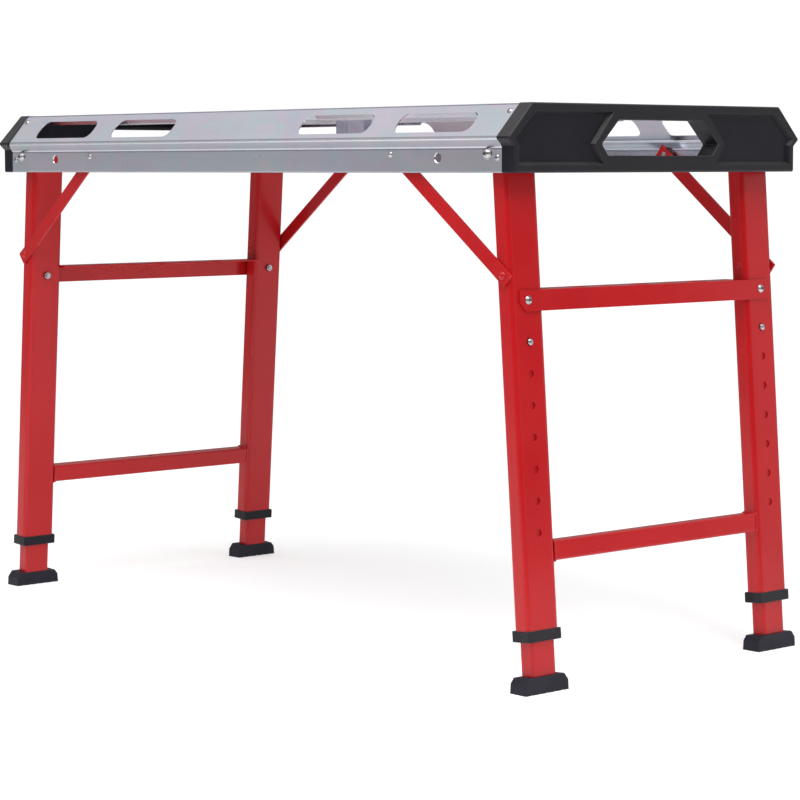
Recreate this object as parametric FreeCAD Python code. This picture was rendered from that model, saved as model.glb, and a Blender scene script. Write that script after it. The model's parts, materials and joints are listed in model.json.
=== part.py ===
import FreeCAD, Part
import math
import os

from FreeCAD import Vector

# Folding work stand: a steel top with two hand-hole rails and two folding leg frames.
# X runs along the top, Y across it, Z up. The origin is on the floor, under the middle of the top.
# Each leg frame is drawn upright about its pivot, as (x outboard, y, z up), then splayed and placed.

# ---- driving dimensions, in millimetres and degrees ----
sheet = 1.5                  # thickness of the top's sheet steel

deck_top = 753.5             # floor to work surface
deck_half = 238.0            # centre line to the upper bend of a rail
crease_half = 278.0          # centre line to a rail's widest crease
crease_z = 709.5
wall_half = 269.5            # centre line to a rail's upright wall
wall_top = 697.0             # where the wall meets the inward slant under the crease
rail_bottom = 665.0
rail_half_length = 560.0
flange_width = 30.0          # rail flange under the deck
hem_height = 6.0

hole_length = 148.0          # hand holes in the rails' sloped faces
hole_near_edge = 13.5        # down the slope, from the upper bend
hole_far_edge = 48.5
hole_radius = 13.0
hole_centres = (222.5, 424.0)
lip_depth = 8.0              # folded lip along each hand hole's upper edge

cap_depth = 23.5             # end cap's rim, along X
cap_proud = 0.6
cap_bulge = 2.0              # a cap's crease beyond the rails' crease
cap_wall = 4.0
cap_recess = 5.0             # depth of the panels beside the handle
cap_bevel = 3.5              # width of the slanted sides of those panels
handle_top = (80.6, 733.4)   # half width and height of the handle opening's upper, middle and lower corners
handle_middle = (112.5, 702.0)
handle_bottom = (100.9, 687.0)
handle_depth = 28.0

splay = 4.3                  # leg frames lean outward by this angle
pivot_x = 533.0
pivot_z = 689.5
leg_y = 225.8                # centre line to a leg's axis
leg_offset = 1.1             # leg axis outboard of its pivot
leg_wide = 56.0              # outer leg tube, along Y
leg_thick = 27.0
leg_wall = 1.5
leg_radius = 6.5
leg_top = 13.0               # above the pivot
leg_end = -622.0
inner_wide = 42.4            # inner leg tube
inner_thick = 23.0
inner_wall = 1.5
inner_radius = 4.0
inner_top = -205.0
inner_end = -684.0

button_z = -241.5            # first height hole, with the snap button at rest in it
hole_pitch = 40.8
height_holes = 7
height_hole_radius = 5.0
button_radius = 4.6
button_tip = 17.8

collar_proud = 1.6
collar_top = -611.0
collar_bottom = -625.5
slide_gap = 0.3

foot_thick = 29.7
foot_half = 39.0
foot_height = 22.2           # on its outboard side; the top is square to the leg
foot_side = 13.3             # height of a foot's upright ends
foot_centre_x = 585.8

upper_bar_top = -175.3       # upper crossbar, bolted on the outboard faces
upper_bar_bottom = -202.5
upper_bar_half = 241.0
bar_sheet = 2.5
shelf_depth = 40.0           # its turned flange with tool holes
tool_hole_spacing = 58.5
tool_hole_large = 14.0
tool_hole_small = 7.0
bar_bolt_z = -188.0

lower_bar_top = -499.0       # lower crossbar, a tube welded between the legs
lower_bar_bottom = -525.0
lower_bar_thick = 25.0

clip_x = 346.8               # clips inside the rail walls that take the braces' upper pins
clip_z = 689.2
clip_radius = 8.0
clip_plate = 1.4
clip_face = 263.7            # centre line to a clip's open face
clip_opens_at = 202.5        # way out of a right-hand clip: degrees anticlockwise from +X, from the front
brace_pivot_x = 3.0          # brace pivots on the legs, from the leg pivots
brace_pivot_z = -155.3
brace_width = 19.8
brace_thick = 3.0
brace_near = 254.5           # centre line to the brace's inner face at its lower end
brace_rise = 5.5             # the brace leans out to the rail by this much
brace_flat = 20.0            # lower end of a brace that lies flat along the leg, past its hole
brace_end = 12.0             # brace beyond each of its holes
brace_pin_tip = 265.9        # outer end of a brace's upper pin, from the centre line
head_stand = 0.15            # that pin's head clears the leaning face of its brace by up to this
pin_radius = 3.0
running_gap = 0.08

pivot_bolt_radius = 4.0
wall_hole_x = 439.5          # plain hole in each rail wall, between pivot and clip
wall_hole_z = 684.5
wall_hole_radius = 6.0
cap_screw_x = 550.6
cap_screw_z = 684.5
slope_screw_down = 13.2

ALONG_X = Vector(1, 0, 0)
ALONG_Y = Vector(0, 1, 0)
ALONG_Z = Vector(0, 0, 1)
CENTRE = Vector(0, 0, 0)

nodes = {}


# ---- shape helpers ----
def rounded_face(points, radii):
    """Flat face through the points, with each corner rounded by its own radius, or sharp at 0."""
    corners = []
    count = len(points)
    for i in range(count):
        corner = points[i]
        back = (points[i - 1] - corner).normalize()
        ahead = (points[(i + 1) % count] - corner).normalize()
        if radii[i] == 0:
            corners.append((corner, None, corner))
            continue
        half_angle = back.getAngle(ahead) / 2
        bisector = (back + ahead).normalize()
        middle = corner + bisector * (radii[i] / math.sin(half_angle) - radii[i])
        reach = radii[i] / math.tan(half_angle)
        corners.append((corner + back * reach, middle, corner + ahead * reach))
    edges = []
    for i in range(count):
        first, middle, last = corners[i]
        if middle is not None:
            edges.append(Part.Arc(first, middle, last).toShape())
        following = corners[(i + 1) % count][0]
        if last.distanceToPoint(following) > 1e-6:
            edges.append(Part.LineSegment(last, following).toShape())
    return Part.Face(Part.Wire(edges))


def prism(points, radii, travel):
    """Rounded outline swept along a vector."""
    if not isinstance(radii, (list, tuple)):
        radii = [radii] * len(points)
    return rounded_face(points, radii).extrude(travel)


def offset_line(points, distance):
    """Open line in the YZ plane, moved sideways by distance to its right, with mitred corners."""
    moved = []
    normals = []
    for a, b in zip(points, points[1:]):
        run = (b - a).normalize()
        normals.append(Vector(0, run.z, -run.y))
    for i, point in enumerate(points):
        before = normals[max(i - 1, 0)]
        after = normals[min(i, len(normals) - 1)]
        mitre = (before + after) * (1 / (1 + before.dot(after)))
        moved.append(point + mitre * distance)
    return moved


def box(low, high):
    """Plain box between two corners."""
    size = [b - a for a, b in zip(low, high)]
    return Part.makeBox(*size, Vector(*low))


def rounded_box(low, high, radius, axis):
    """Box with its edges along one axis rounded."""
    block = box(low, high)
    edges = [e for e in block.Edges if abs(e.tangentAt(e.FirstParameter).dot(axis)) > 0.99]
    return block.makeFillet(radius, edges)


def round_bar(radius, start, travel):
    """Cylinder from a start point along a travel vector."""
    return Part.makeCylinder(radius, travel.Length, start, travel)


def turned(profile, start, direction):
    """Solid of revolution: profile is (radius, distance) pairs along direction from start."""
    points = [Vector(r, 0, d) for r, d in profile]
    wire = Part.makePolygon(points + [points[0]])
    solid = Part.Face(wire).revolve(CENTRE, ALONG_Z, 360)
    solid.Placement = FreeCAD.Placement(start, FreeCAD.Rotation(ALONG_Z, direction))
    return solid


def dome(radius, height, start, direction):
    """Low domed head, with its flat side at start."""
    ball_radius = (radius * radius + height * height) / (2 * height)
    ball = Part.makeSphere(ball_radius, start + direction * (height - ball_radius))
    return ball.common(round_bar(radius, start, direction * (height + 1)))


def cross_recess(radius, depth, top, direction):
    """Two crossed tapered slots, sunk from the top point."""
    cutters = []
    for turn in (45, 135):
        outline = [Vector(-radius, 0, 0.1), Vector(radius, 0, 0.1)]
        outline += [Vector(radius * 0.35, 0, -depth), Vector(-radius * 0.35, 0, -depth)]
        width = radius * 0.32
        blade = prism(outline, 0, Vector(0, width, 0))
        blade.translate(Vector(0, -width / 2, 0))
        blade.rotate(CENTRE, ALONG_Z, turn)
        cutters.append(blade)
    cutter = cutters[0].fuse(cutters[1])
    cutter.Placement = FreeCAD.Placement(top, FreeCAD.Rotation(ALONG_Z, direction))
    return cutter


def screw(head_radius, head_height, shank_radius, shank_length, seat, outward):
    """Domed cross-recess screw whose head sits on seat and whose shank runs the other way."""
    crown = seat + outward * head_height
    head = dome(head_radius, head_height, seat, outward)
    head = head.cut(cross_recess(head_radius * 0.6, head_height * 0.75, crown, outward))
    shank = round_bar(shank_radius, seat - outward * shank_length, outward * (shank_length + 0.4))
    return head.fuse(shank)


def hex_nut(across, height, bore, seat, outward):
    """Hexagon nut with chamfered corners, standing on seat."""
    corner = across / math.sqrt(3)
    outline = [
        Vector(corner * math.cos(math.radians(a)), corner * math.sin(math.radians(a)), 0)
        for a in range(0, 360, 60)
    ]
    block = prism(outline, 0, Vector(0, 0, height))
    chamfer = corner - across / 2
    barrel = [(0, 0), (across / 2, 0), (corner, chamfer)]
    barrel += [(corner, height - chamfer), (across / 2, height), (0, height)]
    block = block.common(turned(barrel, CENTRE, ALONG_Z))
    block = block.cut(round_bar(bore, Vector(0, 0, -1), Vector(0, 0, height + 2)))
    block.Placement = FreeCAD.Placement(seat, FreeCAD.Rotation(ALONG_Z, outward))
    return block


def tube(low, high, wall, radius, axis):
    """Rounded rectangular tube, open at both ends along its axis."""
    run = [abs(axis.x), abs(axis.y), abs(axis.z)]
    inner_low = [a + (wall if r < 0.5 else -1) for a, r in zip(low, run)]
    inner_high = [b - (wall if r < 0.5 else -1) for b, r in zip(high, run)]
    outer = rounded_box(low, high, radius, axis)
    return outer.cut(rounded_box(inner_low, inner_high, max(radius - wall, 0.6), axis))


def mirrored(shape, normal):
    """Mirror image through the plane at the origin with this normal."""
    return shape.mirror(CENTRE, normal)


def one_of(shapes):
    """Separate solids kept together as one node."""
    return shapes[0] if len(shapes) == 1 else Part.makeCompound(shapes)


# ---- the top: deck, rails, stiffeners and end caps ----
slope_run = Vector(0, -(crease_half - deck_half), crease_z - deck_top).normalize()
slope_out = Vector(0, slope_run.z, -slope_run.y)
upper_bend = Vector(0, -deck_half, deck_top)


def slope_point(x, down):
    """Point on the front rail's sloped face, measured down from its upper bend."""
    return Vector(x, 0, 0) + upper_bend + slope_run * down


def rail_line():
    """Outer line of the front rail's section, from its flange round to the foot of its wall."""
    flange_z = deck_top - sheet
    bend = slope_point(0, (deck_top - flange_z) / -slope_run.z)
    return [
        Vector(0, -deck_half + flange_width, flange_z),
        bend,
        Vector(0, -crease_half, crease_z),
        Vector(0, -wall_half, wall_top),
        Vector(0, -wall_half, rail_bottom),
    ]


def hand_hole(x, grow=0.0):
    """Tool that opens one hand hole through the front rail's sloped face."""
    half = hole_length / 2 + grow
    corners = [
        slope_point(x - half, hole_near_edge - grow),
        slope_point(x + half, hole_near_edge - grow),
        slope_point(x + half, hole_far_edge + grow),
        slope_point(x - half, hole_far_edge + grow),
    ]
    lifted = [c + slope_out * 4 for c in corners]
    return prism(lifted, hole_radius + grow, slope_out * -(sheet + 8))


def hole_lip(x):
    """Lip folded inward along a hand hole's upper edge."""
    half = hole_length / 2 - hole_radius
    low = slope_point(x - half, hole_near_edge)
    outline = [
        low,
        low - slope_out * lip_depth,
        low - slope_out * lip_depth - slope_run * sheet,
        low - slope_run * sheet,
    ]
    return prism(outline, [0, 0.5, 0.5, 0], Vector(2 * half, 0, 0))


def make_front_rail():
    outer = rail_line()
    inner = offset_line(outer, -sheet)
    hem = [
        Vector(0, -wall_half + 2 * sheet, rail_bottom),
        Vector(0, -wall_half + 2 * sheet, rail_bottom + hem_height),
        Vector(0, -wall_half + sheet, rail_bottom + hem_height),
    ]
    outline = outer + hem + inner[-2::-1]
    radii = [0, 3.0, 5.0, 1.5, 1.2, 1.2, 0.6, 0, 3.0, 3.5, 1.5, 0]
    rail = prism([p - ALONG_X * rail_half_length for p in outline], radii, ALONG_X * 2 * rail_half_length)
    for side in (-1, 1):
        for centre in hole_centres:
            rail = rail.cut(hand_hole(side * centre))
            rail = rail.fuse(hole_lip(side * centre))
        for x, z, radius in (
            (wall_hole_x, wall_hole_z, wall_hole_radius),
            (pivot_x, pivot_z, pivot_bolt_radius),
            (clip_x, clip_z, 2.4),
            (cap_screw_x, cap_screw_z, 1.8),
        ):
            rail = rail.cut(round_bar(radius, Vector(side * x, -wall_half - 5, z), ALONG_Y * 12))
        mouth = Vector(side * wall_hole_x, -wall_half, wall_hole_z)
        rail = rail.cut(Part.makeCone(wall_hole_radius + 1.1, wall_hole_radius, 1.1, mouth, ALONG_Y))
        seat = slope_point(side * cap_screw_x, slope_screw_down)
        rail = rail.cut(round_bar(1.8, seat + slope_out * 4, slope_out * -8))
    return rail.removeSplitter()


def make_deck():
    low = (-rail_half_length, -deck_half, deck_top - sheet)
    high = (rail_half_length, deck_half, deck_top)
    return rounded_box(low, high, 0.7, ALONG_X)


def make_stiffener(y):
    """Shallow hat-section rib under the deck."""
    top = deck_top - sheet
    foot, crown, depth, gauge = 16.0, 22.0, 12.0, 1.2
    line = [
        Vector(-520, y - crown - foot, top - gauge),
        Vector(-520, y - crown, top - gauge),
        Vector(-520, y - crown + 6, top - depth),
        Vector(-520, y + crown - 6, top - depth),
        Vector(-520, y + crown, top - gauge),
        Vector(-520, y + crown + foot, top - gauge),
    ]
    raised = offset_line(line, -gauge)
    radii = [0, 1, 2, 2, 1, 0, 0, 1.5, 1, 1, 1.5, 0]
    return prism(line + raised[::-1], radii, ALONG_X * 1040)


def make_deck_bracket():
    """Bent-up sheet bracket under the middle of the deck, open at its rear, with a lip on its right side."""
    gauge = 1.2
    half, front, rear, lip = 12.0, -62.0, -20.0, 8.0
    low = deck_top - sheet - 36.0
    line = [(-half, rear), (-half, front), (half, front), (half, rear), (half + lip, rear)]
    inside = [(half + lip, rear + gauge), (half - gauge, rear + gauge), (half - gauge, front + gauge)]
    inside += [(-half + gauge, front + gauge), (-half + gauge, rear)]
    outline = [Vector(x, y, low) for x, y in line + inside]
    radii = [0, 2.2, 2.2, 1, 0, 0, 2.2, 1, 1, 0]
    return prism(outline, radii, ALONG_Z * 36.0)


def cap_outline(inset, bottom, x, bulge=0.0):
    """Closed section of an end cap, inset from the rails' outer line; bulge moves its creases outward."""
    half = [
        Vector(x, 0, deck_top),
        Vector(x, -deck_half, deck_top),
        Vector(x, -crease_half - bulge, crease_z),
        Vector(x, -wall_half, wall_top + 3),
        Vector(x, -wall_half, bottom),
    ]
    half = offset_line(half, -inset)
    half[-1].z = bottom
    other = [Vector(p.x, -p.y, p.z) for p in half[:0:-1]]
    return half[1:] + other


def handle_outline(x, grow):
    """Six-sided handle opening, enlarged all round by grow."""
    top_y, top_z = handle_top
    middle_y, middle_z = handle_middle
    bottom_y, bottom_z = handle_bottom
    half = [
        Vector(x, 0, top_z),
        Vector(x, -top_y, top_z),
        Vector(x, -middle_y, middle_z),
        Vector(x, -bottom_y, bottom_z),
        Vector(x, 0, bottom_z),
    ]
    half = offset_line(half, grow)
    other = [Vector(p.x, -p.y, p.z) for p in half[-2:0:-1]]
    return half[1:-1] + other


def recess_outline(side):
    """Rim of the sunk panel beside the handle opening, on one side of the cap's face."""
    corners = [
        (232.0, deck_top - 10),
        (90.0, deck_top - 10),
        (125.0, rail_bottom + 37.4),
        (106.5, rail_bottom + 10),
        (262.0, rail_bottom + 10),
        (262.0, rail_bottom + 35.5),
        (268.5, rail_bottom + 44),
    ]
    return [Vector(0, side * y, z) for y, z in corners]


def grown(points, distance):
    """Closed outline in the YZ plane, moved to its right by distance, with mitred corners."""
    looped = offset_line([points[-1]] + points + [points[0]], distance)
    return looped[1:-1]


def bevelled_pocket(side, face_x):
    """Pocket sunk from the cap's face at face_x, with slanted sides."""
    rim = recess_outline(side)
    above = 0.5
    slant = side * cap_bevel / cap_recess
    wide = [p + ALONG_X * (face_x + above) for p in grown(rim, slant * above)]
    narrow = [p + ALONG_X * (face_x - cap_recess) for p in grown(rim, -slant * cap_recess)]
    return Part.makeLoft([Part.makePolygon(closed(wide)), Part.makePolygon(closed(narrow))], True, True)


def closed(points):
    return points + [points[0]]


def make_right_cap():
    rim_x = rail_half_length
    face_x = rail_half_length + cap_depth
    radii = [4, 3, 2, 2, 2, 2, 3, 4]
    body = prism(cap_outline(-cap_proud, rail_bottom, rim_x, cap_bulge), radii, ALONG_X * cap_depth)
    front = [e for e in body.Edges if e.BoundBox.XMin > face_x - 0.01]
    body = body.makeFillet(3.0, front)
    cavity_depth = cap_depth - cap_recess - cap_wall
    cavity = prism(cap_outline(cap_wall, rail_bottom + cap_wall, rim_x - 1), 2, ALONG_X * (cavity_depth + 1))
    body = body.cut(cavity)
    spigot_x = rim_x - 17
    fitted = [1, 3.6, 1, 1, 1, 1, 3.6, 1]
    outer = prism(cap_outline(sheet + 0.1, rail_bottom + 8, spigot_x), fitted, ALONG_X * 20)
    hollow = prism(cap_outline(sheet + 3.6, rail_bottom - 5, spigot_x - 1), 1, ALONG_X * 22)
    spigot = outer.cut(hollow)
    spigot = spigot.cut(box((0, -400, deck_top - 2 * sheet - 0.2), (rim_x, 400, 900)))
    body = body.fuse(spigot)
    collar_start = face_x - handle_depth
    collar = prism(handle_outline(collar_start, cap_wall), 3, ALONG_X * (handle_depth - 3))
    body = body.fuse(collar)
    through = prism(handle_outline(collar_start - 1, 0), 2, ALONG_X * (handle_depth + 2))
    body = body.cut(through)
    flare_outer = Part.makePolygon(closed(handle_outline(face_x + 0.1, 0.9)))
    flare_inner = Part.makePolygon(closed(handle_outline(face_x - 0.8, 0)))
    body = body.cut(Part.makeLoft([flare_outer, flare_inner], True, True))
    for side in (-1, 1):
        body = body.cut(bevelled_pocket(side, face_x))
        wall_seat = Vector(cap_screw_x, side * (wall_half + 2), cap_screw_z)
        body = body.cut(round_bar(1.8, wall_seat, ALONG_Y * (side * -14)))
        seat = slope_point(cap_screw_x, slope_screw_down)
        out = Vector(slope_out)
        if side > 0:
            seat.y = -seat.y
            out.y = -out.y
        body = body.cut(round_bar(1.8, seat + out * 2, out * -14))
    return body.removeSplitter()


def make_cap_screws(right):
    """Small screws that hold both caps: on the walls and on the sloped faces."""
    wall_screws = []
    slope_screws = []
    for side in (-1, 1):
        x = right * cap_screw_x
        seat = Vector(x, side * wall_half, cap_screw_z)
        wall_screws.append(screw(4.3, 2.2, 1.8, 7, seat, ALONG_Y * side))
        seat = slope_point(x, slope_screw_down)
        out = Vector(slope_out)
        if side > 0:
            seat.y = -seat.y
            out.y = -out.y
        slope_screws.append(screw(4.3, 2.2, 1.8, 7, seat, out))
    return wall_screws + slope_screws


def make_pivot_hardware():
    """Leg pivot bolts with washers, spacers between wall and leg, and nuts inside the legs."""
    bolts = []
    spacers = []
    nuts = []
    leg_outside = leg_y + leg_wide / 2
    leg_inside = leg_y - leg_wide / 2
    for x in (-pivot_x, pivot_x):
        for side in (-1, 1):
            out = ALONG_Y * side
            seat = Vector(x, side * wall_half, pivot_z)
            washer = turned([(0, 0), (7.6, 0), (7.6, 1.0), (7.2, 1.4), (0, 1.4)], seat, out)
            length = wall_half - leg_inside + 8
            bolt = screw(6.8, 4.4, pivot_bolt_radius, length, seat + out * 1.4, out)
            bolts.append(washer.fuse(bolt))
            ring_start = Vector(x, side * (leg_outside + slide_gap), pivot_z)
            ring_length = wall_half - sheet - leg_outside - slide_gap
            ring = round_bar(7.0, ring_start, out * ring_length)
            spacers.append(ring.cut(round_bar(pivot_bolt_radius, ring_start - out, out * (ring_length + 2))))
            nut_seat = Vector(x, side * (leg_inside - slide_gap), pivot_z)
            nuts.append(hex_nut(13, 6, pivot_bolt_radius, nut_seat, -out))
    return bolts, spacers, nuts


def make_brace_clips():
    """Open clips inside the rail walls, and the rivets whose heads show outside."""
    clips = []
    rivets = []
    inside = wall_half - sheet
    seat = inside - clip_plate
    angle = math.radians(clip_opens_at)
    way = Vector(math.cos(angle), 0, math.sin(angle))
    across = Vector(-way.z, 0, way.x)
    gap = pin_radius + 0.5
    centre = Vector(clip_x, clip_face, clip_z)
    depth = ALONG_Y * (seat - clip_face)
    outer = [across * clip_radius, across * -clip_radius]
    outer += [p + way * (clip_radius + 1) for p in outer[::-1]]
    rim = prism([centre + p for p in outer], [0, 0, 2, 2], depth)
    rim = rim.fuse(round_bar(clip_radius, centre, depth))
    slot = [across * gap, across * -gap]
    slot += [way * (clip_radius + 3) - across * (gap + 1.2), way * (clip_radius + 3) + across * (gap + 1.2)]
    rim = rim.cut(prism([centre + p - ALONG_Y for p in slot], 0, depth + ALONG_Y))
    rim = rim.cut(round_bar(gap, centre - ALONG_Y, depth + ALONG_Y))
    plate_low = (clip_x - 13, seat, clip_z - 11)
    plate = rounded_box(plate_low, (clip_x + 11, inside, clip_z + 11), 3, ALONG_Y)
    clip = rim.fuse(plate).cut(round_bar(2.4, Vector(clip_x, seat - 1, clip_z), ALONG_Y * 9))
    head = dome(4.4, 2.6, Vector(clip_x, wall_half, clip_z), ALONG_Y)
    rivet = head.fuse(round_bar(2.4, Vector(clip_x, seat, clip_z), ALONG_Y * (wall_half - seat + 0.4)))
    for shape, group in ((clip, clips), (rivet, rivets)):
        group.append(shape)
        group.append(mirrored(shape, ALONG_Y))
        group.append(mirrored(shape, ALONG_X))
        group.append(mirrored(group[1], ALONG_X))
    return clips, rivets


# ---- a leg frame, drawn upright about its pivot ----
def make_outer_leg(side):
    y = side * leg_y
    low = (-leg_thick / 2, y - leg_wide / 2, leg_end)
    high = (leg_thick / 2, y + leg_wide / 2, leg_top)
    leg = tube(low, high, leg_wall, leg_radius, ALONG_Z)
    across = Vector(-leg_offset, y - 40, 0)
    leg = leg.cut(round_bar(pivot_bolt_radius + running_gap, across, ALONG_Y * 80))
    brace_hole = across + Vector(brace_pivot_x, 0, brace_pivot_z)
    leg = leg.cut(round_bar(pin_radius, brace_hole, ALONG_Y * 80))
    leg = leg.cut(round_bar(3.0, Vector(-40, y, bar_bolt_z), ALONG_X * 80))
    for i in range(height_holes):
        z = button_z - i * hole_pitch
        leg = leg.cut(round_bar(height_hole_radius, Vector(5, y, z), ALONG_X * 20))
    return leg


def make_inner_leg(side):
    y = side * leg_y
    low = (-inner_thick / 2, y - inner_wide / 2, inner_end)
    high = (inner_thick / 2, y + inner_wide / 2, inner_top)
    leg = tube(low, high, inner_wall, inner_radius, ALONG_Z)
    return leg.cut(round_bar(button_radius + slide_gap, Vector(0, y, button_z), ALONG_X * 20))


def make_collar(side):
    """Plastic end collar: a band round the outer tube's end and two sleeve blocks beside the inner leg."""
    y = side * leg_y
    half_x = leg_thick / 2 + collar_proud
    half_y = leg_wide / 2 + collar_proud
    band = box((-half_x, y - half_y, collar_bottom), (half_x, y + half_y, collar_top))
    band = band.makeFillet(0.9, band.Edges)
    seat_low = (-leg_thick / 2, y - leg_wide / 2, leg_end)
    seat_high = (leg_thick / 2, y + leg_wide / 2, 0)
    tube_seat = rounded_box(seat_low, seat_high, leg_radius, ALONG_Z)
    band = band.cut(tube_seat)
    sleeve_x = leg_thick / 2 - leg_wall - 0.05
    sleeve_y = leg_wide / 2 - leg_wall - 0.05
    sleeve_low = (-sleeve_x, y - sleeve_y, leg_end - 1)
    sleeve_high = (sleeve_x, y + sleeve_y, leg_end + 22)
    sleeve = rounded_box(sleeve_low, sleeve_high, leg_radius - leg_wall, ALONG_Z)
    way_x = inner_thick / 2 + slide_gap
    way_y = inner_wide / 2 + slide_gap
    way = rounded_box(
        (-way_x, y - way_y, collar_bottom - 1), (way_x, y + way_y, 0), inner_radius + slide_gap, ALONG_Z
    )
    between = box((-leg_thick, y - way_y, leg_end), (leg_thick, y + way_y, 0))
    return band.fuse(sleeve.cut(between)).cut(way)


def make_upper_bar():
    """Sheet crossbar: a face bolted on the legs and a level shelf with tool holes between them."""
    face_x = leg_thick / 2
    face = prism(
        [
            Vector(face_x, -upper_bar_half, upper_bar_top),
            Vector(face_x, upper_bar_half, upper_bar_top),
            Vector(face_x, upper_bar_half, upper_bar_bottom),
            Vector(face_x, -upper_bar_half + 10, upper_bar_bottom),
            Vector(face_x, -upper_bar_half, upper_bar_bottom + 11),
        ],
        [1.5, 2, 3, 3, 3],
        ALONG_X * bar_sheet,
    )
    shelf_half = leg_y - leg_wide / 2 - 1
    level = Vector(-math.cos(math.radians(splay)), 0, math.sin(math.radians(splay)))
    down = Vector(-level.z, 0, level.x)
    corner = Vector(face_x + bar_sheet, -shelf_half, upper_bar_top)
    far = corner + level * shelf_depth
    outline = [corner, far, far + down * bar_sheet, corner + down * bar_sheet * 2 + level * bar_sheet]
    outline.append(corner + down * bar_sheet * 3)
    shelf = prism(outline, [2.4, 0.6, 0.6, 0, 0], ALONG_Y * 2 * shelf_half)
    shelf_middle = corner + level * (shelf_depth / 2 + 1.5)
    for i in range(-3, 4):
        radius = tool_hole_large if i % 2 == 0 else tool_hole_small
        spot = Vector(shelf_middle.x, i * tool_hole_spacing, shelf_middle.z)
        shelf = shelf.cut(round_bar(radius, spot - down * 5, down * 20))
    end_clear = box((face_x - 100, -500, upper_bar_bottom), (face_x, -shelf_half, upper_bar_top + 20))
    bar = face.fuse(shelf.cut(end_clear))
    for side in (-1, 1):
        bar = bar.cut(round_bar(3.0, Vector(0, side * leg_y, bar_bolt_z), ALONG_X * 30))
    return bar.removeSplitter()


def make_lower_bar():
    half = leg_y - leg_wide / 2
    low = (-lower_bar_thick / 2, -half, lower_bar_bottom)
    high = (lower_bar_thick / 2, half, lower_bar_top)
    bar = tube(low, high, 1.5, 3, ALONG_Y)
    return bar.cut(round_bar(3.5, Vector(0, 0, lower_bar_top - 5), ALONG_Z * 10))


def make_bar_bolts():
    face_x = leg_thick / 2 + bar_sheet
    seat_x = -leg_thick / 2
    bolts = []
    nuts = []
    for side in (-1, 1):
        y = side * leg_y
        bolts.append(screw(5.8, 3.2, 3.0, face_x - seat_x + 6.5, Vector(face_x, y, bar_bolt_z), ALONG_X))
        nuts.append(hex_nut(10, 5, 3.0, Vector(seat_x, y, bar_bolt_z), -ALONG_X))
    return bolts, nuts


def make_brace_pins():
    """Through pins that carry the braces on the legs: a head, a shoulder and a peened inner end."""
    pins = []
    leg_outside = leg_y + leg_wide / 2
    leg_inside = leg_y - leg_wide / 2
    head_seat = brace_near + brace_thick + slide_gap
    shoulder_length = brace_near - slide_gap - leg_outside
    for side in (-1, 1):
        out = ALONG_Y * side
        hole = Vector(brace_pivot_x - leg_offset, 0, brace_pivot_z)
        head = dome(5.6, 3.4, hole + out * head_seat, out)
        shank = round_bar(pin_radius, hole + out * (leg_inside - 1.5), out * (head_seat - leg_inside + 2))
        shoulder = round_bar(6.5, hole + out * leg_outside, out * shoulder_length)
        peened = dome(5.0, 1.8, hole + out * leg_inside, -out)
        pins.append(head.fuse(shank).fuse(shoulder).fuse(peened))
    return pins


def make_button(side):
    """Hollow snap button whose dome stands out of the height hole."""
    flange = inner_thick / 2 - inner_wall - 0.2
    profile = [(0, 14.0), (3.4, 14.0), (3.6, flange - 0.9), (6.2, flange - 0.9), (6.2, flange)]
    profile += [(button_radius, flange), (button_radius, button_tip - 2.6)]
    steps = 6
    for i in range(1, steps + 1):
        angle = math.radians(90 * i / steps)
        profile.append((button_radius * math.cos(angle), button_tip - 2.6 + 2.6 * math.sin(angle)))
    return turned(profile, Vector(0, side * leg_y, button_z), ALONG_X)


def make_button_spring(side):
    """Folded leaf spring behind a button, inside the inner leg."""
    y = side * leg_y
    gauge = 0.8
    wall_x = inner_thick / 2 - inner_wall - 0.1
    front_x = wall_x - 1.15
    top = button_z + 10
    line = [
        Vector(0, -front_x, top),
        Vector(0, -front_x, button_z - 12),
        Vector(0, 3.4, button_z - 58),
        Vector(0, wall_x, button_z - 52),
        Vector(0, wall_x, top),
    ]
    other = offset_line(line, -gauge)
    radii = [0, 6, 2.2, 4, 0, 0, 3.2, 1.4, 5.2, 0]
    leaf = prism(line + other[::-1], radii, ALONG_X * 12)
    leaf.rotate(CENTRE, ALONG_Z, 90)
    leaf.translate(Vector(0, y - 6, 0))
    return leaf


def make_foot(side):
    """Foot block, level on the floor, with a socket for the inner leg; drawn in place, on the right."""
    y = side * leg_y
    x = foot_centre_x - foot_thick / 2
    section = [
        (-foot_half, 0),
        (-foot_half + 1, foot_side),
        (-foot_half + 9, foot_height + 1),
        (foot_half - 9, foot_height + 1),
        (foot_half - 1, foot_side),
        (foot_half, 0),
    ]
    outline = [Vector(x, y + dy, z) for dy, z in section]
    block = prism(outline, 0, ALONG_X * foot_thick)
    above = box((-60, y - 60, 0), (20, y + 60, 20))
    above.rotate(CENTRE, ALONG_Y, -splay)
    above.translate(Vector(x + foot_thick, 0, foot_height))
    block = block.cut(above)
    block = block.makeFillet(1.0, [e for e in block.Edges if e.BoundBox.ZMax > 1])
    for i in (-2, -1, 0, 1, 2):
        groove_y = y + i * 14
        block = block.cut(box((x - 1, groove_y - 1.5, -1), (x + foot_thick + 1, groove_y + 1.5, 1.6)))
    socket = rounded_box(
        (-inner_thick / 2 - 0.1, y - inner_wide / 2 - 0.1, inner_end - 0.1),
        (inner_thick / 2 + 0.1, y + inner_wide / 2 + 0.1, 0),
        inner_radius,
        ALONG_Z,
    )
    return block.cut(placed(socket))


def placed(shape):
    """Move a shape from its upright frame to the splayed right-hand frame."""
    moved = shape.copy()
    moved.translate(ALONG_X * leg_offset)
    moved.rotate(CENTRE, ALONG_Y, -splay)
    moved.translate(Vector(pivot_x, 0, pivot_z))
    return moved


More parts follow.
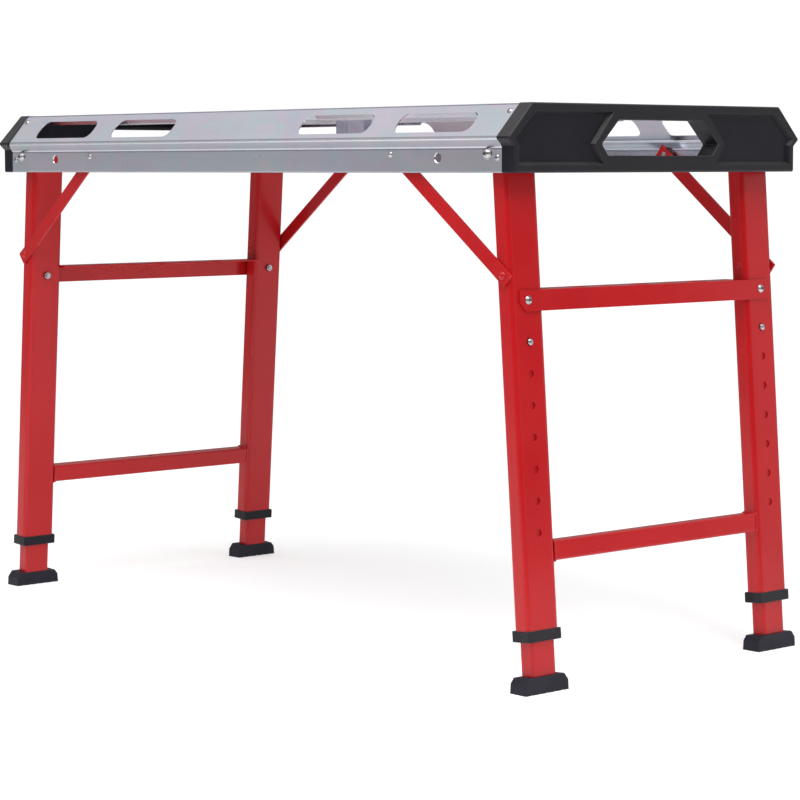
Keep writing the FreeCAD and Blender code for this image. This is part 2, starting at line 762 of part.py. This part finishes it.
def make_brace():
    """Brace of the right front leg: flat along the leg at its lower hole, then bent out to the rail."""
    foot_hole = placed(Part.Vertex(brace_pivot_x - leg_offset, 0, brace_pivot_z)).Point
    head_hole = Vector(clip_x, 0, clip_z)
    length = foot_hole.distanceToPoint(head_hole)
    run = (head_hole - foot_hole).normalize()
    up = Vector(-run.z, 0, run.x)
    half = brace_width / 2
    start = foot_hole - run * brace_end
    stop = head_hole + run * brace_end
    depth = Vector(0, -brace_near + 1, 0)
    outline = [start - up * half, start + up * half, stop + up * half, stop - up * half]
    bar = prism([p + depth for p in outline], 2.0, ALONG_Y * -(brace_rise + brace_thick + 2))
    slant = brace_rise / (length - brace_flat)
    inner = []
    outer = []
    for along in (-brace_end - 1, brace_flat, length + brace_end + 1):
        rise = max(along - brace_flat, 0) * slant
        inner.append(foot_hole + run * along - up * (half + 1) - ALONG_Y * (brace_near + rise))
        outer.append(foot_hole + run * along - up * (half + 1) - ALONG_Y * (brace_near + brace_thick + rise))
    bent = prism(inner + outer[::-1], [0, 8, 0, 0, 8, 0], up * (brace_width + 2))
    bar = bar.common(bent)
    bar = bar.cut(round_bar(pin_radius + running_gap, foot_hole + ALONG_Y * -300, ALONG_Y * 100))
    return bar.cut(round_bar(pin_radius, head_hole + ALONG_Y * -300, ALONG_Y * 100))


def make_brace_hook_pin():
    """Pin riveted through the upper end of the right front brace, standing out towards the rail's clip."""
    start = Vector(clip_x, -brace_near - brace_rise + head_stand, clip_z)
    shank = round_bar(pin_radius, start, ALONG_Y * -(brace_pin_tip + start.y))
    return shank.fuse(dome(4.6, 1.5, start, ALONG_Y))


# ---- build every node ----
def build_top():
    front_rail = make_front_rail()
    right_cap = make_right_cap()
    nodes["deck_sheet"] = make_deck()
    nodes["front_rail"] = front_rail
    nodes["rear_rail"] = mirrored(front_rail, ALONG_Y)
    nodes["deck_stiffeners"] = one_of([make_stiffener(-110), make_stiffener(110)])
    nodes["deck_bracket"] = make_deck_bracket()
    nodes["right_end_cap"] = right_cap
    nodes["left_end_cap"] = mirrored(right_cap, ALONG_X)
    nodes["right_cap_screws"] = one_of(make_cap_screws(1))
    nodes["left_cap_screws"] = one_of(make_cap_screws(-1))
    bolts, spacers, nuts = make_pivot_hardware()
    nodes["leg_pivot_bolts"] = one_of(bolts)
    nodes["leg_pivot_spacers"] = one_of(spacers)
    nodes["leg_pivot_nuts"] = one_of(nuts)
    clips, rivets = make_brace_clips()
    nodes["brace_clips"] = one_of(clips)
    nodes["brace_clip_rivets"] = one_of(rivets)


def build_frame(hand):
    """One leg frame; the left one is the right one's mirror image."""
    def put(name, shape, upright=True):
        there = placed(shape) if upright else shape
        nodes[name] = mirrored(there, ALONG_X) if hand == "left" else there

    for place, side in (("front", -1), ("rear", 1)):
        name = hand + "_" + place + "_"
        put(name + "outer_leg", make_outer_leg(side))
        put(name + "inner_leg", make_inner_leg(side))
        put(name + "collar", make_collar(side))
        put(name + "foot", make_foot(side), upright=False)
        put(name + "snap_button", make_button(side))
        put(name + "button_spring", make_button_spring(side))
        for part, shape in (("brace", make_brace()), ("brace_hook_pin", make_brace_hook_pin())):
            put(name + part, mirrored(shape, ALONG_Y) if side > 0 else shape, upright=False)
    bolts, nuts = make_bar_bolts()
    put(hand + "_upper_crossbar", make_upper_bar())
    put(hand + "_lower_crossbar", make_lower_bar())
    put(hand + "_crossbar_bolts", one_of(bolts))
    put(hand + "_crossbar_nuts", one_of(nuts))
    put(hand + "_brace_pins", one_of(make_brace_pins()))


build_top()
build_frame("right")
build_frame("left")

os.makedirs("parts", exist_ok=True)
for name, shape in nodes.items():
    shape.exportStep("parts/" + name + ".step")
    print(name, "solids", len(shape.Solids), "valid", shape.isValid(), "volume", round(shape.Volume))
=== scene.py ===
import json
import math

import bmesh
import bpy
from mathutils import Matrix, Vector


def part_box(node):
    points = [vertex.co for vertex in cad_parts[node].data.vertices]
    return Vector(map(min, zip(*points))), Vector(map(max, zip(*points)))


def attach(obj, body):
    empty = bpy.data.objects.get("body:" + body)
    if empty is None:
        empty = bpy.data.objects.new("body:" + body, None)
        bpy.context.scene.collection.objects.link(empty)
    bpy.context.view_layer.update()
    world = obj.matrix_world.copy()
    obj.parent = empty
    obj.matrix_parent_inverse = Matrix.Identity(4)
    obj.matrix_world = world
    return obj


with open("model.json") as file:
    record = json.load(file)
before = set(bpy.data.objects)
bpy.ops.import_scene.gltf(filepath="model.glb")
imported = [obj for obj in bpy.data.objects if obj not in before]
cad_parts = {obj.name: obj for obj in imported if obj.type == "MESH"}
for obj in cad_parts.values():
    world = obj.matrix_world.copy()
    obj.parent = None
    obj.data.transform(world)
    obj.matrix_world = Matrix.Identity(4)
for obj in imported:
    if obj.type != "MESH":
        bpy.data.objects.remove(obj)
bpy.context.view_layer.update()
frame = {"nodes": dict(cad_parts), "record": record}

HANDS = ("right", "left")
PLACES = ("front", "rear")

# Heights of a rail's lower edge and of its two bends, and the end cap's outermost face along X.
RAIL_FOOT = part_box("front_rail")[0][2]
RAIL_WALL_TOP = RAIL_FOOT + 0.032
RAIL_CREASE = RAIL_FOOT + 0.0445
CAP_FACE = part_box("right_end_cap")[1][0]

# A cap's face is painted lighter where it stands further out along X than this, fully so one fade
# length further on:
# painted light on the raised face. Its sunk panels don't reach it.
CAP_LIT_FACE_START = CAP_FACE - 0.0045
LIT_FACE_FADE = 0.004

CAP_GREY = 0.0075
CAP_ROUGHNESS = 0.42
FOOT_GREY = 0.014
FOOT_ROUGHNESS = 0.50

# Pattern sizes, in repeats per metre.
ZINC_CLOUDS = 6.0
ROLLING_LINES = 36.0
PAINT_PATCHES = 5.0
ORANGE_PEEL = 330.0
PAINT_WAVES = 18.0
HANDLING_MARKS = 9.0
MOULD_GRAIN = 1500.0
FINE_GRAIN = 600.0

# Depth of the recesses in screw and bolt heads that are painted darker as painted shade.
SHADE_REACH = 0.004

# The lower crossbar's section, and the weld bead that runs round it a little way in from each end. The
# bead swells and thins by WELD_RIPPLE of its radius.
LEG_SPLAY = math.radians(4.3)
BAR_HALF_THICK = 0.0125
BAR_HALF_TALL = 0.013
BAR_CORNER = 0.003
CORNER_STEPS = 6
RUN_STEPS = 12
WELD_RADIUS = 0.0019
WELD_SIDES = 8
WELD_INSET = 0.0006
WELD_RIPPLE = 0.14
WELD_RIPPLE_TURN = 2.1

FLOOR_RADIUS = 3.4
FLOOR_SIDES = 120
FLOOR_GLOW = 0.36

VIEW_YAW = math.radians(48.50)
VIEW_PITCH = math.radians(-5.20)
VIEW_ROLL = math.radians(-0.11)
CAMERA_PLACE = (2.9224, -2.5321, 0.6753)
CAMERA_SENSOR = 36.0
CAMERA_LENS = 116.2

BACKDROP_STRENGTH = 1.05
# The studio's light: by direction, from straight behind the object (0) to straight towards the
# photograph's camera (1), and by height, from the horizon (0) to overhead (1). The two are added.
SIDE_BRIGHTNESS = (
    (0.0, 0.18), (0.25, 0.20), (0.43, 0.42), (0.50, 0.10),
    (0.59, 0.10), (0.64, 0.8), (0.70, 0.8), (0.76, 0.04),
)
HEIGHT_BRIGHTNESS = ((0.0, 0.04), (0.15, 0.06), (0.65, 0.46), (1.0, 0.50))
# Name, place, the point that it faces, width and height, and power in watts.
LAMPS = (
    ("ceiling", (0.9, -1.2, 3.0), (0, 0, 0.4), (2.8, 2.6), 70),
    ("key", (2.9, -0.9, 3.0), (0.2, 0, 0.4), (0.8, 0.8), 24),
    ("left_front", (-0.6, -3.6, 2.4), (0, 0, 0.4), (0.9, 1.4), 9),
    ("right_back", (2.15, 2.75, 0.9), (0.5, 0.2, 0.4), (1.1, 1.8), 4.5),
)


# ---- material helpers ----
def ramp_node(tree, source, stops):
    """Smooth colour ramp; each stop is (position, (r, g, b)) or (position, grey)."""
    node = tree.nodes.new("ShaderNodeValToRGB")
    node.color_ramp.interpolation = "EASE"
    elements = node.color_ramp.elements
    elements.remove(elements[1])
    for i, (position, colour) in enumerate(stops):
        element = elements.new(position) if i else elements[0]
        element.position = position
        rgb = colour if isinstance(colour, tuple) else (colour,) * 3
        element.color = (*rgb, 1.0)
    tree.links.new(source, node.inputs["Fac"])
    return node.outputs["Color"]


class Shader:
    """A principled material and short calls for the nodes that feed it."""

    def __init__(self, name):
        self.material = bpy.data.materials.new(name)
        self.material.use_nodes = True
        self.tree = self.material.node_tree
        self.base = self.tree.nodes["Principled BSDF"]
        coordinates = self.tree.nodes.new("ShaderNodeTexCoord")
        self.place = coordinates.outputs["Object"]
        self.normal = coordinates.outputs["Normal"]

    def put(self, **values):
        """Plain numbers and colours, straight on the shader's sockets."""
        for key, value in values.items():
            self.base.inputs[key.replace("_", " ")].default_value = value

    def feed(self, socket, source):
        """A node's output, linked to one of the shader's sockets."""
        self.tree.links.new(source, self.base.inputs[socket])

    def stretched(self, x, y, z):
        """The place on the object, scaled along each axis."""
        mapping = self.tree.nodes.new("ShaderNodeMapping")
        mapping.inputs["Scale"].default_value = (x, y, z)
        self.tree.links.new(self.place, mapping.inputs["Vector"])
        return mapping.outputs["Vector"]

    def noise(self, scale, detail=3.0, roughness=0.5, place=None, distortion=0.0):
        node = self.tree.nodes.new("ShaderNodeTexNoise")
        node.inputs["Scale"].default_value = scale
        node.inputs["Detail"].default_value = detail
        node.inputs["Roughness"].default_value = roughness
        node.inputs["Distortion"].default_value = distortion
        self.tree.links.new(place or self.place, node.inputs["Vector"])
        return node.outputs["Fac"]

    def cells(self, scale):
        """Distance from the middle of the nearest of many small cells."""
        node = self.tree.nodes.new("ShaderNodeTexVoronoi")
        node.inputs["Scale"].default_value = scale
        self.tree.links.new(self.place, node.inputs["Vector"])
        return node.outputs["Distance"]

    def part_of(self, vector, axis, low, high):
        """The size of the vector's X or Y, or its signed Z, brought to 0 at low and 1 at high."""
        parts = self.tree.nodes.new("ShaderNodeSeparateXYZ")
        self.tree.links.new(vector, parts.inputs[0])
        value = parts.outputs[axis]
        if axis != "Z":
            size = self.tree.nodes.new("ShaderNodeMath")
            size.operation = "ABSOLUTE"
            self.tree.links.new(value, size.inputs[0])
            value = size.outputs[0]
        node = self.tree.nodes.new("ShaderNodeMapRange")
        node.inputs["From Min"].default_value = low
        node.inputs["From Max"].default_value = high
        self.tree.links.new(value, node.inputs["Value"])
        return node.outputs["Result"]

    def ramp(self, source, stops):
        return ramp_node(self.tree, source, stops)

    def mix(self, share, a, b, blend="MIX"):
        """Two colours mixed; share, a and b are each a node's output, a number or an (r, g, b)."""
        node = self.tree.nodes.new("ShaderNodeMix")
        node.data_type = "RGBA"
        node.blend_type = blend
        # the node's sockets for two colours are inputs 6 and 7, and output 2 is their mix
        first, second = node.inputs[6], node.inputs[7]
        for socket, value in ((node.inputs["Factor"], share), (first, a), (second, b)):
            if isinstance(value, bpy.types.NodeSocket):
                self.tree.links.new(value, socket)
            elif isinstance(value, tuple):
                socket.default_value = (*value, 1.0)
            else:
                socket.default_value = value
        return node.outputs[2]

    def bump(self, layers):
        """Stacked bumps; each layer is (height source, strength, distance in metres)."""
        normal = None
        for height, strength, distance in layers:
            node = self.tree.nodes.new("ShaderNodeBump")
            node.inputs["Strength"].default_value = strength
            node.inputs["Distance"].default_value = distance
            self.tree.links.new(height, node.inputs["Height"])
            if normal is not None:
                self.tree.links.new(normal, node.inputs["Normal"])
            normal = node.outputs["Normal"]
        self.tree.links.new(normal, self.base.inputs["Normal"])

    def edges(self, radius):
        """1 on flat faces and less near sharp edges, where a rounded normal leans from the true one."""
        rounded = self.tree.nodes.new("ShaderNodeBevel")
        rounded.samples = 4
        rounded.inputs["Radius"].default_value = radius
        geometry = self.tree.nodes.new("ShaderNodeNewGeometry")
        dot = self.tree.nodes.new("ShaderNodeVectorMath")
        dot.operation = "DOT_PRODUCT"
        self.tree.links.new(rounded.outputs["Normal"], dot.inputs[0])
        self.tree.links.new(geometry.outputs["True Normal"], dot.inputs[1])
        return dot.outputs["Value"]

    def openness(self, reach):
        """1 in the open and less down in recesses, from what lies within reach."""
        node = self.tree.nodes.new("ShaderNodeAmbientOcclusion")
        node.samples = 8
        node.inputs["Distance"].default_value = reach
        return node.outputs["AO"]


# ---- materials ----
def zinc_sheet():
    """Zinc-plated sheet steel: bluish grey with soft lilac and cyan clouds and faint rolling lines,
    painted shade on faces that look downwards, painted highlight and shade lines where the rails were
    bent, and a painted highlight on sharp edges."""
    s = Shader("zinc_sheet")
    s.put(Metallic=1.0)
    clouds = s.noise(ZINC_CLOUDS, roughness=0.55, place=s.stretched(1.0, 1.8, 1.8), distortion=0.5)
    tint = s.ramp(clouds, [
        (0.34, (0.72, 0.77, 0.90)),
        (0.45, (0.80, 0.76, 0.88)),
        (0.53, (0.74, 0.81, 0.88)),
        (0.62, (0.84, 0.79, 0.90)),
        (0.72, (0.74, 0.78, 0.89)),
    ])
    rolled = s.noise(ROLLING_LINES, detail=2.0, place=s.stretched(0.03, 1.0, 1.0))
    tint = s.mix(0.10, tint, s.ramp(rolled, [(0.3, 0.55), (0.7, 0.95)]), "MULTIPLY")
    # faces that look downwards are painted darker: painted shade underneath
    underside_shade = s.ramp(s.part_of(s.normal, "Z", -1.0, 1.0), [(0.34, 0.52), (0.44, 1.0)])
    tint = s.mix(1.0, tint, underside_shade, "MULTIPLY")
    low, high = RAIL_FOOT - 0.002, RAIL_CREASE + 0.006
    # heights across the rail's edge and bends, and the painted brightness there: painted highlight and
    # shade lines
    bend_light_lines = [
        (RAIL_FOOT + 0.0004, 0.55),
        (RAIL_FOOT + 0.0014, 1.30),
        (RAIL_FOOT + 0.0026, 1.00),
        (RAIL_WALL_TOP - 0.0030, 0.96),
        (RAIL_WALL_TOP - 0.0012, 0.60),
        (RAIL_WALL_TOP + 0.0006, 1.30),
        (RAIL_WALL_TOP + 0.0022, 0.66),
        (RAIL_CREASE - 0.0035, 0.72),
        (RAIL_CREASE - 0.0012, 1.45),
        (RAIL_CREASE + 0.0004, 1.10),
        (RAIL_CREASE + 0.0016, 0.52),
        (RAIL_CREASE + 0.0032, 0.98),
    ]
    stops = [((z - low) / (high - low), painted_brightness) for z, painted_brightness in bend_light_lines]
    tint = s.mix(1.0, tint, s.ramp(s.part_of(s.place, "Z", low, high), stops), "MULTIPLY")
    # sharp edges mixed towards pale grey: painted edge highlight
    edge = s.ramp(s.edges(0.0012), [(0.80, 0.7), (0.985, 0.0)])
    s.feed("Base Color", s.mix(edge, tint, (0.86, 0.86, 0.88)))
    s.feed("Roughness", s.ramp(s.noise(10.0, 2.0), [(0.30, 0.22), (0.70, 0.28)]))
    s.bump([(rolled, 0.06, 0.0002)])
    return s.material


def red_paint():
    """Glossy powder coat: even colour, faint orange peel and a painted highlight on sharp edges."""
    s = Shader("red_powder_coat")
    s.put(Specular_IOR_Level=0.24, Coat_Weight=0.12, Coat_Roughness=0.08)
    patches = s.noise(PAINT_PATCHES, 3.0, 0.6)
    body = s.ramp(patches, [(0.35, (0.435, 0.0075, 0.0105)), (0.65, (0.470, 0.0095, 0.0125))])
    # sharp edges painted a brighter red: painted edge highlight
    edge = s.ramp(s.edges(0.0010), [(0.82, 0.55), (0.99, 0.0)])
    s.feed("Base Color", s.mix(edge, body, (0.60, 0.030, 0.036)))
    s.feed("Roughness", s.ramp(s.noise(12.0, 1.0), [(0.30, 0.21), (0.70, 0.27)]))
    s.bump([
        (s.noise(ORANGE_PEEL, 1.0, 0.45), 0.05, 0.0002),
        (s.noise(PAINT_WAVES, 1.0, 0.4), 0.06, 0.0008),
    ])
    return s.material


def black_plastic(name, grey, rough, lit_face_start=None):
    """Moulded plastic with a fine spark-eroded grain, cloudy handling marks and sharp edges lightened
    as painted highlights. Given a start along X, faces that stand out further than that are painted
    lighter as painted light on the raised face, and faces that look upwards get a lighter painted
    sheen."""
    s = Shader(name)
    s.put(Specular_IOR_Level=0.20)
    # sharp edges mixed towards a light grey: painted edge highlight
    edge_highlight = s.ramp(s.edges(0.0022), [(0.70, 0.9), (0.99, 0.0)])
    body = s.ramp(s.noise(HANDLING_MARKS, 4.0, 0.6), [
        (0.35, (grey * 0.85, grey * 0.80, grey * 1.40)),
        (0.65, (grey * 1.10, grey * 1.05, grey * 1.80)),
    ])
    if lit_face_start is not None:
        # faces standing out furthest along X are painted lighter: painted light on the raised face
        outer = s.part_of(s.place, "X", lit_face_start, lit_face_start + LIT_FACE_FADE)
        raised_face_light = s.ramp(outer, [(0.0, 0.0), (1.0, 0.55)])
        body = s.mix(raised_face_light, body, (grey * 3.0, grey * 2.7, grey * 3.1))
        # faces that look upwards are painted lighter: painted sheen from the light overhead
        top_sheen = s.ramp(s.part_of(s.normal, "Z", 0.0, 1.0), [(0.30, 0.0), (0.60, 1.0)])
        body = s.mix(top_sheen, body, (grey * 4.4, grey * 4.1, grey * 4.3))
    s.feed("Base Color", s.mix(edge_highlight, body, (grey * 6.0, grey * 6.0, grey * 6.3)))
    s.feed("Roughness", s.ramp(s.noise(30.0, 3.0), [(0.35, rough - 0.05), (0.65, rough + 0.06)]))
    s.bump([(s.cells(MOULD_GRAIN), 0.16, 0.00016), (s.noise(FINE_GRAIN, 2.0), 0.08, 0.0002)])
    return s.material


def bright_zinc():
    """Bright zinc plating on bolts, screws and rivets, with painted shade down in the recesses."""
    s = Shader("bright_zinc")
    s.put(Metallic=1.0)
    bright = s.ramp(s.noise(160.0, 2.0), [(0.35, (0.36, 0.36, 0.38)), (0.65, (0.50, 0.50, 0.50))])
    # painted shade: darker down in the recesses, from ambient occlusion
    recess_shade = s.ramp(s.openness(SHADE_REACH), [(0.35, 0.12), (0.85, 1.0)])
    s.feed("Base Color", s.mix(1.0, bright, recess_shade, "MULTIPLY"))
    s.feed("Roughness", s.ramp(s.noise(300.0, 3.0), [(0.35, 0.24), (0.65, 0.36)]))
    s.bump([(s.noise(900.0, 2.0), 0.08, 0.0001)])
    return s.material


def dark_spring():
    """Spring steel, dull and slightly blue."""
    s = Shader("spring_steel")
    s.put(Metallic=1.0)
    patches = s.noise(90.0, 3.0)
    s.feed("Base Color", s.ramp(patches, [(0.35, (0.30, 0.31, 0.34)), (0.65, (0.42, 0.42, 0.44))]))
    s.feed("Roughness", s.ramp(s.noise(200.0, 3.0), [(0.35, 0.30), (0.65, 0.42)]))
    s.bump([(s.noise(FINE_GRAIN, 2.0), 0.12, 0.0001)])
    return s.material


def stage_white():
    """Pale matte floor paint, slightly luminous, so that it meets the white surroundings unseen."""
    s = Shader("pale_floor")
    s.put(Roughness=0.9, Specular_IOR_Level=0.1)
    s.put(Emission_Color=(1.0, 1.0, 1.0, 1.0), Emission_Strength=FLOOR_GLOW)
    s.feed("Base Color", s.ramp(s.noise(3.0, 2.0), [(0.3, 0.86), (0.7, 0.88)]))
    return s.material


def dress_nodes():
    """Gives every CAD node the material of its slot, and returns the materials by slot."""
    finishes = {
        "zinc_steel": zinc_sheet(),
        "red_paint": red_paint(),
        "black_plastic": black_plastic("black_cap_plastic", CAP_GREY, CAP_ROUGHNESS, CAP_LIT_FACE_START),
        "black_rubber": black_plastic("black_foot_rubber", FOOT_GREY, FOOT_ROUGHNESS),
        "bright_fasteners": bright_zinc(),
        "spring_steel": dark_spring(),
    }
    for entry in frame["record"]["subparts"]:
        node = frame["nodes"][entry["node"]]
        node.data.materials.clear()
        node.data.materials.append(finishes[entry["material_slot"]])
    return finishes


# ---- weld beads ----
def add_piece(name, mesh, material, body):
    piece = bpy.data.objects.new(name, mesh)
    bpy.context.scene.collection.objects.link(piece)
    mesh.materials.append(material)
    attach(piece, body)


def bar_outline():
    """Points round the lower crossbar's section, each with the way that its surface faces."""
    corners = [
        Vector((x * (BAR_HALF_THICK - BAR_CORNER), 0, z * (BAR_HALF_TALL - BAR_CORNER)))
        for x, z in ((1, 1), (-1, 1), (-1, -1), (1, -1))
    ]
    path = []
    for turn, corner in enumerate(corners):
        for step in range(CORNER_STEPS + 1):
            angle = math.radians(90 * turn + 90 / CORNER_STEPS * step)
            facing = Vector((math.cos(angle), 0, math.sin(angle)))
            path.append((corner + facing * BAR_CORNER, facing))
        here = path[-1][0]
        there = corners[(turn + 1) % 4] + facing * BAR_CORNER
        path += [(here.lerp(there, k / RUN_STEPS), facing) for k in range(1, RUN_STEPS)]
    return path


def add_weld(hand, place, material):
    """Rippled weld bead round one end of a lower crossbar, where it meets the leg."""
    low, high = (Vector(corner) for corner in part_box(hand + "_lower_crossbar"))
    outward = 1 if hand == "right" else -1
    end_y = low.y + WELD_INSET if place == "front" else high.y - WELD_INSET
    centre = Vector(((low.x + high.x) / 2, end_y, (low.z + high.z) / 2))
    lean = Matrix.Rotation(-outward * LEG_SPLAY, 3, "Y")
    bead = bmesh.new()
    rings = []
    for k, (point, facing) in enumerate(bar_outline()):
        thick = WELD_RADIUS * (1.0 + WELD_RIPPLE * math.sin(k * WELD_RIPPLE_TURN))
        ring = []
        for step in range(WELD_SIDES):
            angle = math.radians(360 / WELD_SIDES * step)
            offset = facing * (math.cos(angle) * thick) + Vector((0, math.sin(angle) * thick, 0))
            ring.append(bead.verts.new(centre + lean @ (point + offset)))
        rings.append(ring)
    for k, ring in enumerate(rings):
        after = rings[(k + 1) % len(rings)]
        for step in range(WELD_SIDES):
            beside = (step + 1) % WELD_SIDES
            bead.faces.new((ring[step], after[step], after[beside], ring[beside])).smooth = True
    bmesh.ops.recalc_face_normals(bead, faces=bead.faces)
    mesh = bpy.data.meshes.new("weld")
    bead.to_mesh(mesh)
    bead.free()
    add_piece(hand + "_" + place + "_weld", mesh, material, hand + "_frame")


# ---- stage, light and camera ----
def make_stage():
    """Round pale floor under the object."""
    turns = [math.radians(360 / FLOOR_SIDES * i) for i in range(FLOOR_SIDES)]
    edge = [(FLOOR_RADIUS * math.cos(turn), FLOOR_RADIUS * math.sin(turn), 0.0) for turn in turns]
    mesh = bpy.data.meshes.new("floor")
    mesh.from_pydata(edge, [], [range(FLOOR_SIDES)])
    mesh.materials.append(stage_white())
    floor = bpy.data.objects.new("floor", mesh)
    bpy.context.scene.collection.objects.link(floor)


def area_light(name, place, target, size, power):
    data = bpy.data.lights.new(name, "AREA")
    data.shape = "RECTANGLE"
    data.size, data.size_y = size
    data.energy = power
    light = bpy.data.objects.new(name, data)
    light.location = place
    light.rotation_euler = (Vector(target) - Vector(place)).to_track_quat("-Z", "Y").to_euler()
    bpy.context.scene.collection.objects.link(light)


def make_world():
    """White studio: seen directly it is plain white. Its light comes from overhead, from a soft ring
    beside the object and from a brighter ring ahead of it, and is dim around the camera."""
    world = bpy.data.worlds.new("studio")
    bpy.context.scene.world = world
    world.use_nodes = True
    tree = world.node_tree
    plain = tree.nodes["Background"]
    plain.inputs["Color"].default_value = (1.0, 1.0, 1.0, 1.0)
    plain.inputs["Strength"].default_value = BACKDROP_STRENGTH
    direction = tree.nodes.new("ShaderNodeTexCoord").outputs["Generated"]
    towards = tree.nodes.new("ShaderNodeVectorMath")
    towards.operation = "DOT_PRODUCT"
    towards.inputs[1].default_value = (0.5 * math.sin(VIEW_YAW), -0.5 * math.cos(VIEW_YAW), 0.0)
    tree.links.new(direction, towards.inputs[0])
    shifted = tree.nodes.new("ShaderNodeMath")
    shifted.inputs[1].default_value = 0.5
    tree.links.new(towards.outputs["Value"], shifted.inputs[0])
    around = ramp_node(tree, shifted.outputs[0], SIDE_BRIGHTNESS)
    parts = tree.nodes.new("ShaderNodeSeparateXYZ")
    tree.links.new(direction, parts.inputs[0])
    height = ramp_node(tree, parts.outputs["Z"], HEIGHT_BRIGHTNESS)
    both = tree.nodes.new("ShaderNodeMix")
    both.data_type = "RGBA"
    both.blend_type = "ADD"
    both.inputs["Factor"].default_value = 1.0
    tree.links.new(around, both.inputs[6])
    tree.links.new(height, both.inputs[7])
    studio = tree.nodes.new("ShaderNodeBackground")
    tree.links.new(both.outputs[2], studio.inputs["Color"])
    choice = tree.nodes.new("ShaderNodeMixShader")
    seen_directly = tree.nodes.new("ShaderNodeLightPath").outputs["Is Camera Ray"]
    tree.links.new(seen_directly, choice.inputs["Fac"])
    tree.links.new(studio.outputs[0], choice.inputs[1])
    tree.links.new(plain.outputs[0], choice.inputs[2])
    tree.links.new(choice.outputs[0], tree.nodes["World Output"].inputs["Surface"])


def make_camera():
    """Camera at the viewing angle of the photograph: off the right front corner, lower than the top."""
    data = bpy.data.cameras.new("camera")
    data.sensor_width = CAMERA_SENSOR
    data.lens = CAMERA_LENS
    camera = bpy.data.objects.new("camera", data)
    bpy.context.scene.collection.objects.link(camera)
    turn = Matrix.Rotation(VIEW_YAW, 4, "Z") @ Matrix.Rotation(math.pi / 2 + VIEW_PITCH, 4, "X")
    turn = turn @ Matrix.Rotation(VIEW_ROLL, 4, "Z")
    camera.matrix_world = Matrix.Translation(CAMERA_PLACE) @ turn
    bpy.context.scene.camera = camera


finishes = dress_nodes()
for side in HANDS:
    for end in PLACES:
        add_weld(side, end, finishes["red_paint"])
make_stage()
make_world()
for lamp in LAMPS:
    area_light(*lamp)
make_camera()
bpy.context.scene.view_settings.view_transform = "Standard"
